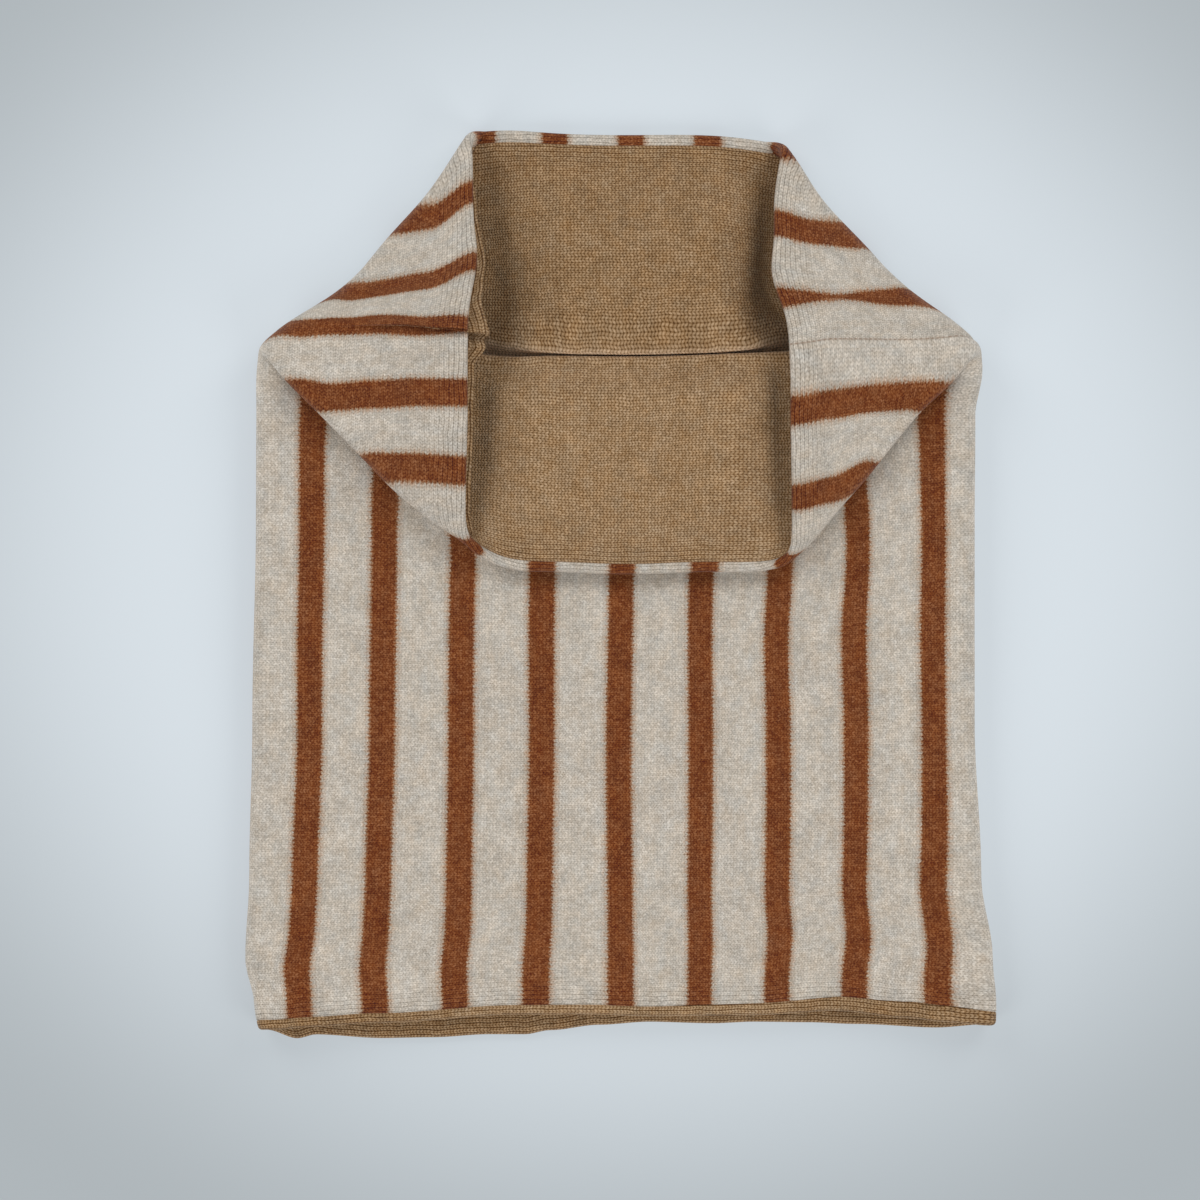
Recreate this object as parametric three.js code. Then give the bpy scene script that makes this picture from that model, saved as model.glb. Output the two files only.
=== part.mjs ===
// A knitted snood (tube scarf) lying flat on a table, in millimetres, +Z up.
// It is one tube of double cloth: a striped outer tube and a plain lining tube inside it.
// The upper end is pulled open and pressed flat, so the front of the tube folds down over
// itself, the back of it stays on the table and a triangular flap folds in at each side.
// The outer cloth turns over to the inside at the rim, the lining to the outside at the hem.

import * as THREE from "three";

// Sizes of the snood
const HALF_WIDTH = 141.5; // centre line to side edge, along the cloth
const BODY_LENGTH = 267; // hem to the line where the front folds down
const MOUTH = 82; // that fold line to the rim, along the cloth
const LAYER = 1.7; // one layer of jersey
const LAYER_GAP = 0.3; // between the outer tube and the lining
const HALF_WALL = LAYER + LAYER_GAP / 2; // middle of the double cloth to either face
const RIM_TURN = 4.5; // outer cloth turned to the inside at the rim
const RIM_GAP = 1; // between that turn and the end of the lining
const HEM_TURN = 4; // lining turned to the outside at the hem

// Heights over the table of the middle of the double cloth
const BACK_HEIGHT = HALF_WALL; // the back lies on the table
const FRONT_HEIGHT = 12; // the front, over the hollow of the tube
const STACK_STEP = 4.8; // each layer that is folded down over the front
const TURNED_HEIGHT = FRONT_HEIGHT + STACK_STEP;
const FLAP_HEIGHT = TURNED_HEIGHT + STACK_STEP;
const FLAP_LOW = 7; // the flap's upper half comes down to this
const FLAP_FALL = 60; // over this much cloth
const RIM_LIFTS = { left: 11.5, right: 8 }; // the flaps' free edges stand up by this
const RIM_LIFT_FROM = 34;
const FRONT_SWELL = 9; // the turned front swells up between the flaps
const FRONT_SLOPES = { left: { from: 87, to: 107 }, right: { from: 86, to: 102 } };

// A fold of two layers S apart is round when its kernel reaches this many times S / 2
const ROUND = 1.83;
const ROUND_DIAGONAL = ROUND * Math.SQRT2;
const WIDEST_FOLD = 13; // longest reach along the flap's outer fold

// The point where a side edge meets its two diagonals is rounded over a disc of cloth
const TIP_DISC = 5;
const TIP_REACH = 18;
const TIP_RINGS = [
  { radius: 0, weight: 1, points: 1, turn: 0 },
  { radius: 0.6, weight: 1, points: 8, turn: 0 },
  { radius: 1.2, weight: 0.55, points: 8, turn: 0.5 },
  { radius: 1.8, weight: 0.2, points: 8, turn: 0.5 },
];
// and the lining is pressed thinner there
const TIP_PRESS = { amount: 0.68, sigma: -2.5, t: 2.5, reach: 9 };

// Half the width of the lying tube at heights over the hem, left and right. With straight
// side edges it would be PLAIN_EDGE all the way.
const PLAIN_EDGE = 140.5;
const SIDE_EDGES = [
  { over: -10, left: 139.0, right: 146.3 },
  { over: 10, left: 142.8, right: 147.0 },
  { over: 28, left: 146.4, right: 145.6 },
  { over: 60, left: 144.8, right: 141.0 },
  { over: 120, left: 143.6, right: 138.4 },
  { over: 200, left: 142.2, right: 138.0 },
  { over: 240, left: 142.2, right: 138.4 },
  { over: 260, left: 143.0, right: 142.2 },
];

// How far the hem lies above its straight line, on the front and on the back
const HEM_LIFTS = [
  { x: -145, front: 0.8, back: -2.4 },
  { x: -94, front: 2.3, back: -3.0 },
  { x: -39, front: 5.4, back: -0.8 },
  { x: 11, front: 4.3, back: 3.0 },
  { x: 47, front: 4.7, back: 3.8 },
  { x: 80, front: 6.8, back: 3.0 },
  { x: 107, front: 3.1, back: 2.0 },
  { x: 145, front: 2.0, back: 1.2 },
];

// Where the pressed mouth lies off the straight fold pattern
const DRIFTS = [
  { x: -112, y: 30, reach: 26, dx: 5.0, dy: -4.5 }, // left flap, outer fold
  { x: -82, y: 62, reach: 28, dx: 4.5, dy: -4.0 }, // and higher up
  { x: 84, y: 58, reach: 30, dx: -4.5, dy: -3.5 }, // right flap, outer fold
  { x: 114, y: 28, reach: 24, dx: -3.5, dy: -3.0 }, // and lower down
  { x: -60, y: 82, reach: 26, dx: 1.0, dy: 2.5 }, // upper left corner
  { x: 68, y: 84, reach: 22, dx: 4.5, dy: -2.5 }, // upper right corner
  { x: 62, y: 5, reach: 42, dx: 4.5, dy: 0 }, // right rim
  { x: -60, y: 0, reach: 55, dx: 2.0, dy: 0 }, // left rim
  { x: 74, y: -70, reach: 42, dx: 4.5, dy: -3.0 }, // lower right corner
  { x: -58, y: -80, reach: 13, dx: 0, dy: 3.0 }, // lower left corner
  { x: 0, y: -50, reach: 85, dx: 0, dy: -6.5 }, // fold of the front and lower rim
  { x: 0, y: 88, reach: 60, dx: 0, dy: 2.0 }, // upper rim
  { x: 0, y: 0, reach: 40, dx: 0, dy: -0.7 }, // fold of the front
  { x: -46, y: 0, reach: 16, dx: 0, dy: -1.6 }, // and its left end
  { x: 60, y: 28, reach: 13, dx: -4.0, dy: 0 }, // bulge of the right rim
  { x: -58, y: 37, reach: 11, dx: 3.0, dy: 0 }, // and of the left one
];

// The middle of the whole lying shape, seen from the hem's middle
const MIDDLE = { x: 0.27, y: 173.24 };

const clamp = (value, low, high) => Math.min(Math.max(value, low), high);
const lerp = (from, to, part) => from + (to - from) * part;

function smooth(value, low, high) {
  const part = clamp((value - low) / (high - low), 0, 1);
  return part * part * (3 - 2 * part);
}

// A step from 0 to 1 and its matching rounded absolute value, both exact beyond the reach
function roundStep(distance, reach) {
  const q = clamp(distance / reach, -1, 1);
  return 0.5 + (15 / 16) * (q - (2 * q ** 3) / 3 + q ** 5 / 5);
}

function roundAbs(distance, reach) {
  const q = distance / reach;
  if (Math.abs(q) >= 1) {
    return Math.abs(distance);
  }
  return (reach * (5 + 15 * q ** 2 - 5 * q ** 4 + q ** 6)) / 16;
}

// Reads a table at a place, rounded between its rows
function readTable(rows, key, place, column) {
  const last = rows.length - 1;
  if (place <= rows[0][key]) {
    return rows[0][column];
  }
  for (let i = 0; i < last; i += 1) {
    if (place <= rows[i + 1][key]) {
      const part = smooth(place, rows[i][key], rows[i + 1][key]);
      return lerp(rows[i][column], rows[i + 1][column], part);
    }
  }
  return rows[last][column];
}

// The folded cloth on one side of the centre line. side is 1 right, -1 left. sigma is how far
// the cloth is from the side edge, more than 0 on the back and less on the front; t is how far
// it is above the fold line. x is measured from the centre line, y from the fold line.
function foldedPoint(side, sigma, t) {
  const foldReach = (ROUND * STACK_STEP) / 2;
  const open = (t + roundAbs(t, foldReach)) / 2;
  const shut = (t - roundAbs(t, foldReach)) / 2;
  const opening = smooth(t, -5, 20);
  const sideReach = (ROUND * (FRONT_HEIGHT - BACK_HEIGHT)) / 2;
  const outerHeight = lerp(FLAP_HEIGHT, FLAP_LOW, smooth(open, 0, FLAP_FALL));
  const outerReach = Math.min((ROUND_DIAGONAL * (outerHeight - BACK_HEIGHT)) / 2, WIDEST_FOLD);
  const backReach = lerp(sideReach, outerReach, opening);
  const frontReach = lerp(sideReach, (ROUND_DIAGONAL * STACK_STEP) / 2, opening);

  const fromBack = roundAbs(sigma - open, backReach);
  const fromFront = roundAbs(sigma + open, frontReach);
  const onBack = roundStep(sigma - open, backReach);
  const onFront = roundStep(-sigma - open, frontReach);
  const lift = side < 0 ? RIM_LIFTS.left : RIM_LIFTS.right;
  const corner = smooth(-sigma, 25, MOUTH);
  const lifted = lift * smooth(t, RIM_LIFT_FROM, MOUTH) * (1 - 0.7 * corner);
  const flap = lerp(FLAP_HEIGHT, FLAP_LOW, smooth(sigma, 0, FLAP_FALL)) + lifted;
  const slope = side < 0 ? FRONT_SLOPES.left : FRONT_SLOPES.right;
  const swell = FRONT_SWELL * smooth(t, 0, 18) * (1 - 0.7 * smooth(t, 56, MOUTH));
  const swollen = swell * smooth(-sigma, slope.from, slope.to);
  const front = lerp(FRONT_HEIGHT, TURNED_HEIGHT, roundStep(t, foldReach)) + swollen;
  return {
    x: HALF_WIDTH - (fromBack + fromFront) / 2,
    y: shut + (fromFront - fromBack) / 2,
    z: flap * (1 - onBack - onFront) + BACK_HEIGHT * onBack + front * onFront,
  };
}

// The same, averaged over a small disc of cloth close to the tip of the flap
function roundedPoint(side, sigma, t) {
  const disc = TIP_DISC * Math.exp(-((sigma / TIP_REACH) ** 2) - (t / TIP_REACH) ** 2);
  const sum = { x: 0, y: 0, z: 0 };
  let total = 0;
  for (const ring of TIP_RINGS) {
    for (let i = 0; i < ring.points; i += 1) {
      const angle = (2 * Math.PI * (i + ring.turn)) / ring.points;
      const across = disc * ring.radius * Math.cos(angle);
      const along = disc * ring.radius * Math.sin(angle);
      const point = foldedPoint(side, sigma + across, t + along);
      sum.x += ring.weight * point.x;
      sum.y += ring.weight * point.y;
      sum.z += ring.weight * point.z;
      total += ring.weight;
    }
  }
  return { x: sum.x / total, y: sum.y / total, z: sum.z / total };
}

// The middle of the double cloth as it lies on the table
function clothPoint(side, sigma, t) {
  const point = roundedPoint(side, sigma, t);
  const x = side * point.x;
  const over = point.y + BODY_LENGTH;
  const left = readTable(SIDE_EDGES, "over", over, "left");
  const right = readTable(SIDE_EDGES, "over", over, "right");
  let lyingX = (x * lerp(left, right, smooth(x, -70, 70))) / PLAIN_EDGE;
  let lyingY = point.y;
  for (const drift of DRIFTS) {
    const away = ((x - drift.x) ** 2 + (point.y - drift.y) ** 2) / drift.reach ** 2;
    lyingX += drift.dx * Math.exp(-away);
    lyingY += drift.dy * Math.exp(-away);
  }
  return new THREE.Vector3(lyingX - MIDDLE.x, lyingY + BODY_LENGTH - MIDDLE.y, point.z);
}

// A point of the wall, depth millimetres out of the middle of the double cloth
function wallPoint(side, sigma, t, depth) {
  const step = 0.05;
  const across = clothPoint(side, sigma + step, t).sub(clothPoint(side, sigma - step, t));
  const along = clothPoint(side, sigma, t + step).sub(clothPoint(side, sigma, t - step));
  const outward = across.cross(along).normalize().multiplyScalar(side);
  const { amount, reach } = TIP_PRESS;
  const away = (sigma - TIP_PRESS.sigma) ** 2 + (t - TIP_PRESS.t) ** 2;
  const press = depth < 0 ? 1 - amount * Math.exp(-away / reach ** 2) : 1;
  return clothPoint(side, sigma, t).addScaledVector(outward, depth * press);
}

// Lines of cloth that run from hem to rim on one side, from the back's centre line to the
// front's. Below the fold line the middle 17 lie close around the side edge. Above it they
// part: 7 follow the flap's outer fold, 7 its inner fold and 3 stay on the flap.
const CLOSE_STEP = 1.1;
const BACK_FOLD_LINES = [9, 5.6, 2.8, 0, -2.8, -5.6, -9];
const FRONT_FOLD_LINES = [6, 3.6, 1.8, 0, -1.8, -3.6, -6];
const FLAP_LINES = [0.75, 0.5, 0.25];
const PANEL_LINES = [0.72, 0.42, 0.16];
const PARTED = 16;
// Above the fold line the front's panel lines follow its swelling
const SWELL_LINES = [112, 99, 87];
const SWELL_LINES_CLEAR = 79;

function closeLines(t) {
  const open = Math.max(t, 0);
  const backFold = BACK_FOLD_LINES.map((offset) => open + offset);
  const frontFold = FRONT_FOLD_LINES.map((offset) => offset - open);
  const flap = FLAP_LINES.map((part) => lerp(frontFold[0], backFold[6], part));
  const parted = [...backFold, ...flap, ...frontFold];
  const middle = (parted.length - 1) / 2;
  return parted.map((line, i) => lerp((middle - i) * CLOSE_STEP, line, smooth(t, 0, PARTED)));
}

function sideLines(t) {
  const close = closeLines(t);
  const first = close[0];
  const last = close[close.length - 1];
  const back = PANEL_LINES.map((part) => lerp(first, HALF_WIDTH, part));
  const moved = Math.max(0, -last - SWELL_LINES_CLEAR);
  const front = PANEL_LINES.map((part, i) => {
    const even = lerp(last, -HALF_WIDTH, part);
    return lerp(even, -SWELL_LINES[i] - moved, smooth(t, 0, PARTED));
  }).reverse();
  return [HALF_WIDTH, ...back, ...close, ...front];
}

// All lines round the tube: down the right side from back to front, up the left side again
function ringLines(t) {
  const down = sideLines(t).map((sigma) => ({ side: 1, sigma }));
  const up = sideLines(t).map((sigma) => ({ side: -1, sigma }));
  const front = { side: -1, sigma: -HALF_WIDTH };
  return [...down, front, ...up.slice(1).reverse()];
}

// The cut of each tube: its outline through the cloth, up the outer face and down the
// inner one. from tells where along is measured from.
const BODY_ROWS = [-215, -165, -115, -70, -38, -20, -11, -6.5, -4.2, -2.1, 0, 2.1, 4.2, 6.5, 10,
  15, 22, 32, 44, 57];
const HEM_ROWS = [14, 30];
const RIM_ROWS = [13, 6.5];

function wallRows(depth) {
  return [
    ...HEM_ROWS.map((along) => ({ from: "hem", along, depth })),
    ...BODY_ROWS.map((along) => ({ from: "fold", along, depth })),
    ...RIM_ROWS.map((along) => ({ from: "rim", along, depth })),
  ];
}

// The round edge where a cloth turns over, from its face at depth first to the other face
function turnRows(from, first) {
  return [0, 0.25, 0.5, 0.75, 1].map((part) => ({
    from,
    along: HALF_WALL * (1 - Math.sin(Math.PI * part)),
    depth: first * HALF_WALL * Math.cos(Math.PI * part),
  }));
}

const outerCut = [
  { from: "hem", along: HEM_TURN + LAYER_GAP, depth: HALF_WALL },
  ...wallRows(HALF_WALL),
  ...turnRows("rim", 1),
  { from: "rim", along: RIM_TURN, depth: -HALF_WALL },
  { from: "rim", along: RIM_TURN, depth: LAYER_GAP / 2 },
  ...wallRows(LAYER_GAP / 2).reverse(),
  { from: "hem", along: HEM_TURN + LAYER_GAP, depth: LAYER_GAP / 2 },
];

const liningCut = [
  { from: "hem", along: HEM_TURN, depth: -LAYER_GAP / 2 },
  ...wallRows(-LAYER_GAP / 2),
  { from: "rim", along: RIM_TURN + RIM_GAP, depth: -LAYER_GAP / 2 },
  { from: "rim", along: RIM_TURN + RIM_GAP, depth: -HALF_WALL },
  ...wallRows(-HALF_WALL).reverse(),
  ...turnRows("hem", -1),
  { from: "hem", along: HEM_TURN, depth: HALF_WALL },
];

// How high the hem lies at a place round the tube
function hemLift(side, sigma) {
  const x = side * (HALF_WIDTH - Math.abs(sigma));
  const back = readTable(HEM_LIFTS, "x", x, "back");
  const front = readTable(HEM_LIFTS, "x", x, "front");
  return lerp(front, back, smooth(sigma, -25, 25));
}

function rowHeight(row, side, sigma) {
  if (row.from === "hem") {
    return row.along - BODY_LENGTH + hemLift(side, sigma);
  }
  return row.from === "rim" ? MOUTH - row.along : row.along;
}

// Sweeps a cut round the tube into one closed body
function tubeGeometry(cut) {
  const positions = [];
  for (const row of cut) {
    for (const line of ringLines(rowHeight(row, 1, 0))) {
      const t = rowHeight(row, line.side, line.sigma);
      positions.push(...wallPoint(line.side, line.sigma, t, row.depth).toArray());
    }
  }
  const around = ringLines(0).length;
  const index = [];
  cut.forEach((row, j) => {
    const next = (j + 1) % cut.length;
    const rising = rowHeight(cut[next], 1, 0) > rowHeight(row, 1, 0);
    for (let i = 0; i < around; i += 1) {
      const a = j * around + i;
      const b = j * around + ((i + 1) % around);
      const c = next * around + ((i + 1) % around);
      const d = next * around + i;
      // facing walls are split along the same diagonal of the cloth
      index.push(...(rising ? [a, c, b, a, d, c] : [a, d, b, b, d, c]));
    }
  });
  const geometry = new THREE.BufferGeometry();
  geometry.setAttribute("position", new THREE.Float32BufferAttribute(positions, 3));
  geometry.setIndex(index);
  geometry.computeVertexNormals();
  return geometry;
}

function knit(color) {
  return new THREE.MeshStandardMaterial({ color, roughness: 0.95, metalness: 0 });
}

const outer = new THREE.Mesh(tubeGeometry(outerCut), knit(0xbfb5a8));
outer.name = "outer_tube";

const lining = new THREE.Mesh(tubeGeometry(liningCut), knit(0x94765a));
lining.name = "lining_tube";

const snood = new THREE.Group();
snood.add(outer, lining);

export default snood;
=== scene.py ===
import math

import bpy
import numpy as np
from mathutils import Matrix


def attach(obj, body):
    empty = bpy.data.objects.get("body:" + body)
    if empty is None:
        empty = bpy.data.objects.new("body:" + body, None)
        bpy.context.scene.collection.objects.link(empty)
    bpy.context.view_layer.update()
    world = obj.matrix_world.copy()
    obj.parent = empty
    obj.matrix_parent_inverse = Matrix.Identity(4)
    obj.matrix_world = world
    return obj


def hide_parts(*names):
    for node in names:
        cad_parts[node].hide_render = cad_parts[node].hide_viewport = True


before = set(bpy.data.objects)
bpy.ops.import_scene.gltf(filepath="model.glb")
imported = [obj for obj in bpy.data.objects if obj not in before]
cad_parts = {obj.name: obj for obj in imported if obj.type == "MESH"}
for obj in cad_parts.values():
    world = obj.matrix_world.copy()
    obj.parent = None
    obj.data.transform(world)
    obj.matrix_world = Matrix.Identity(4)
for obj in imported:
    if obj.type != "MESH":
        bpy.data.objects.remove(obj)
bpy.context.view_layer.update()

MM = 0.001

# Sizes of the snood, as in the solids
HALF_WIDTH = 141.5  # centre line to side edge, along the cloth
AROUND = 4 * HALF_WIDTH
BODY_LENGTH = 267.0  # hem to the line where the front folds down
MOUTH = 82.0  # that fold line to the rim, along the cloth
LAYER = 1.7  # one layer of jersey
LAYER_GAP = 0.3  # between the outer tube and the lining
HALF_WALL = LAYER + LAYER_GAP / 2
RIM_TURN = 4.5  # outer cloth turned to the inside at the rim
TUCK = 3.0  # how far a cut end lies under the other cloth's edge
TUCKED = 0.95  # depth of the outside of such an end
HEM_TURN = 4.0  # lining turned to the outside at the hem

# Heights over the table of the middle of the double cloth
BACK_HEIGHT = HALF_WALL
FRONT_HEIGHT = 12.0
STACK_STEP = 4.8
TURNED_HEIGHT = FRONT_HEIGHT + STACK_STEP
FLAP_HEIGHT = TURNED_HEIGHT + STACK_STEP
FLAP_LOW = 7.0  # the flap's upper tip, where it comes down to the back
FLAP_FALL = 60.0  # distance from the side edge over which it comes down
RIM_LIFTS = (11.5, 8.0)  # how far the flaps' free edges stand up, left and right
RIM_LIFT_FROM = 34.0
RIM_LIFT_LOST = 0.7  # share of it that is gone at the lower corners
RIM_LIFT_CORNER = (25.0, MOUTH)

# The swells between the flaps. They rise and fall along the cloth and slope down to the flaps
# between two distances from the side edge, given for the left and the right.
BACK_SWELL = {
    "height": 16.0,
    "rise": (-7.0, 9.0),
    "fall": (34.0, MOUTH),
    "lost": 0.85,
    "slopes": ((91.0, 121.0), (86.0, 104.0)),
}
FRONT_SWELL = {
    "height": 11.0,
    "rise": (0.0, 18.0),
    "fall": (50.0, MOUTH),
    "lost": 0.95,
    "slopes": ((87.0, 107.0), (86.0, 102.0)),
}
SLOPE_ROUND = 0.3  # how round the ends of those slopes are, as a share of their width
BACK_FOOT = 0.1  # share of the back's swell that goes on under the flaps
BACK_FOOT_RISE = (8.0, 60.0)
BACK_WIDER_AT_RIM = 4.0  # how much wider that swell is close to the rim
BACK_WIDER_RISE = (40.0, 75.0)
BACK_WIDER_AT_FOLD = {"width": 8.0, "t": 6.0, "reach": 6.0}
BACK_LEAN = {"far": 3.5, "t": 9.0, "reach": 4.0}  # the back leans toward the fold of the front

# The front gives way under the edges that lie on it, and sinks toward its hem
SUNK = 2.0
SUNK_BESIDE_FLAP = {"reach": 6.0, "from_edge": (6.0, 18.0), "from_fold": (6.0, 14.0)}
SUNK_CORNER = (-92.0, -70.0)
SUNK_UNDER_RIM = {"t": -MOUTH - 1, "reach": 5.0, "ends": (72.0, 88.0)}
HEM_SAG = 4.0
HEM_SAG_HEIGHT = 70.0
HEM_SAG_SIDE = (6.0, 45.0)

# How round the folds are
ROUND = 1.83
ROUND_DIAGONAL = ROUND * math.sqrt(2)
WIDEST_FOLD = 13.0
OPENING = (-5.0, 20.0)  # heights between which the side folds begin to slant inward
CORNER_ROUND = 22.0  # more of it at the lower corners of the mouth
CORNER_FROM = 50.0
TIP_DISC = 5.0
TIP_DISC_LEAST = 0.02  # a smaller disc changes nothing
TIP_REACH = 18.0
TIP_RINGS = [  # radius, weight, points, turn
    (0.0, 1.0, 1, 0.0),
    (0.6, 1.0, 8, 0.0),
    (1.2, 0.55, 8, 0.5),
    (1.8, 0.2, 8, 0.5),
]
TIP_PRESS = {"amount": 0.68, "sigma": -2.5, "t": 2.5, "reach": 9.0}  # thins the lining there

# Half the width of the lying tube at heights over the hem
PLAIN_EDGE = 140.5
SIDE_BLEND = 70.0  # how far from the centre line the left width gives way to the right one
SIDE_EDGES = np.array([  # over, left, right
    (-10, 139.0, 146.3),
    (10, 142.8, 147.0),
    (28, 146.4, 145.6),
    (60, 144.8, 141.0),
    (120, 143.6, 138.4),
    (200, 142.2, 138.0),
    (240, 142.2, 138.4),
    (260, 143.0, 142.2),
])

# How far the hem lies above its straight line
HEM_FRONT = np.array([  # x, how far
    (-145, 2.0),
    (-138, 2.2),
    (-119, 1.6),
    (-94, 2.8),
    (-39, 6.0),
    (-12, 6.2),
    (11, 5.4),
    (50, 5.9),
    (80, 7.5),
    (107, 4.8),
    (121, 3.5),
    (145, 2.5),
])
HEM_BACK = np.array([  # x, how far
    (-145, -2.0),
    (-138, -2.0),
    (-128, -4.7),
    (-119, -2.4),
    (-94, -3.8),
    (-74, -3.5),
    (-51, -2.3),
    (-37, -2.3),
    (-27, -0.7),
    (-8, 1.4),
    (11, 2.6),
    (35, 2.0),
    (50, 2.6),
    (70, 2.4),
    (89, 1.7),
    (120, 0.3),
    (136, 0.9),
])
HEM_LIFT_FADE = (20.0, 60.0)  # over the hem
# How much wider the lining's turn is in front
HEM_WIDER = np.array([  # x, how much
    (10, 0.0),
    (35, 0.5),
    (63, 1.1),
    (89, 2.0),
    (105, 2.6),
])
HEM_WIDER_FADE = (8.0, 30.0)
HEM_SIDE = 25.0  # reach round the side edges in which the front's hem turns into the back's

# Where the pressed mouth lies off the straight fold pattern, seen from above
DRIFTS = [  # x, y, reach, dx, dy
    (-112, 30, 26, 5.0, -4.5),  # left flap, outer fold
    (-82, 62, 28, 4.5, -4.0),
    (84, 58, 30, -4.5, -3.5),  # right flap, outer fold
    (114, 28, 24, -3.5, -3.0),
    (-60, 82, 26, 1.0, 2.5),  # upper corners
    (68, 84, 22, 4.5, -2.5),
    (62, 5, 42, 4.5, 0),  # rims
    (-60, 0, 55, 2.0, 0),
    (74, -70, 42, 4.5, -3.0),  # lower right corner
    (-58, -80, 13, 0, 3.0),  # lower left corner
    (0, -50, 85, 0, -6.5),  # fold of the front and lower rim
    (0, 88, 60, 0, 2.0),  # upper rim
    (0, 0, 40, 0, -0.7),
    (-46, 0, 16, 0, -1.6),
    (60, 28, 13, -4.0, 0),  # bulges of the rims
    (-58, 34, 14, 3.0, 0),
]
# The same for the cloth above the fold line alone
UPPER_DRIFTS = [  # x, y, reach, dx, dy
    (60, -26, 16, 2.0, 0),  # right rim
    (60, -50, 20, 3.0, 0),
    (60, -78, 16, 3.8, -1.5),
    (86, -60, 12, -1.6, 0),
    (-42, 88, 14, 0, 0.7),  # upper rim
    (0, 88, 30, 0, -0.9),
    (-45, -84, 20, 0, -1.6),  # lower rim
    (0, -84, 28, 0, -1.5),
]
UPPER_FROM = (0.0, 20.0)
MIDDLE_X = 0.27  # what puts the middle of the lying snood at the frame's origin
MIDDLE_Y = 173.24

# Slow waves of the upper layers, in the plan
WAVES = [  # wave along x, wave along y, turn, height
    (95, 160, 0.3, 0.30),
    (-60, 210, 1.7, 0.25),
    (140, -75, 4.0, 0.25),
    (48, 130, 2.2, 0.12),
]


def lerp(start, end, part):
    return start + (end - start) * part


def smooth(value, low, high):
    part = np.clip((value - low) / (high - low), 0, 1)
    return part * part * (3 - 2 * part)


def bump(value, middle, reach):
    return np.exp(-(((value - middle) / reach) ** 2))


def round_step(distance, reach):
    """A step from 0 to 1 that is exact beyond the reach."""
    q = np.clip(distance / reach, -1, 1)
    return 0.5 + 15 / 16 * (q - 2 * q**3 / 3 + q**5 / 5)


def round_abs(distance, reach):
    """The absolute value, rounded within the reach."""
    q = np.clip(distance / reach, -1, 1)
    rounded = reach * (5 + 15 * q**2 - 5 * q**4 + q**6) / 16
    return np.where(np.abs(distance) >= reach, np.abs(distance), rounded)


def read_table(rows, column, place):
    """A column of a table at a place along its first column, rounded between the rows."""
    places = rows[:, 0]
    i = np.clip(np.searchsorted(places, place) - 1, 0, len(places) - 2)
    part = smooth(place, places[i], places[i + 1])
    return lerp(rows[i, column], rows[i + 1, column], part)


def bump_at(t, place):
    """A bump at the height that a table names."""
    return bump(t, place["t"], place["reach"])


def between_flaps(side, sigma, slopes):
    """0 at the flaps and 1 between them, with a straight slope that is rounded at both ends."""
    left, right = slopes
    low = np.where(side < 0, left[0], right[0])
    part = (np.abs(sigma) - low) / (np.where(side < 0, left[1], right[1]) - low)
    return (round_abs(part, SLOPE_ROUND) - round_abs(part - 1, SLOPE_ROUND) + 1) / 2


def swell_height(swell, t):
    rise = swell["height"] * smooth(t, *swell["rise"])
    return rise * (1 - swell["lost"] * smooth(t, *swell["fall"]))


def flap_height(side, sigma, t):
    """A flap comes down toward its upper tip, and its free edge stands up."""
    height = lerp(FLAP_HEIGHT, FLAP_LOW, smooth(sigma, 0, FLAP_FALL))
    lift = np.where(side < 0, *RIM_LIFTS) * smooth(t, RIM_LIFT_FROM, MOUTH)
    return height + lift * (1 - RIM_LIFT_LOST * smooth(-sigma, *RIM_LIFT_CORNER))


def front_height(side, sigma, t, fold_reach):
    """The front lies on the back up to its fold, and above that on itself."""
    height = lerp(FRONT_HEIGHT, TURNED_HEIGHT, round_step(t, fold_reach))
    swollen = between_flaps(side, sigma, FRONT_SWELL["slopes"])
    height = height + swell_height(FRONT_SWELL, t) * swollen
    beside = bump(sigma - t, 0, SUNK_BESIDE_FLAP["reach"])
    beside = beside * smooth(-sigma, *SUNK_BESIDE_FLAP["from_edge"])
    beside = beside * smooth(-t, *SUNK_BESIDE_FLAP["from_fold"])
    under_rim = bump_at(t, SUNK_UNDER_RIM) * smooth(-sigma, *SUNK_UNDER_RIM["ends"])
    height = height - SUNK * np.maximum(beside * smooth(t, *SUNK_CORNER), under_rim)
    sag = 1 - smooth(t + BODY_LENGTH, 0, HEM_SAG_HEIGHT)
    return height - HEM_SAG * sag * smooth(-sigma, *HEM_SAG_SIDE)


def back_swollen(side, sigma, t, opened):
    """The share of its swell that the back has at a place."""
    foot = BACK_FOOT * smooth(sigma - opened, *BACK_FOOT_RISE)
    wider = BACK_WIDER_AT_RIM * smooth(t, *BACK_WIDER_RISE)
    wider = wider + BACK_WIDER_AT_FOLD["width"] * bump_at(t, BACK_WIDER_AT_FOLD)
    return lerp(foot, 1, between_flaps(side, sigma + wider, BACK_SWELL["slopes"]))


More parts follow.
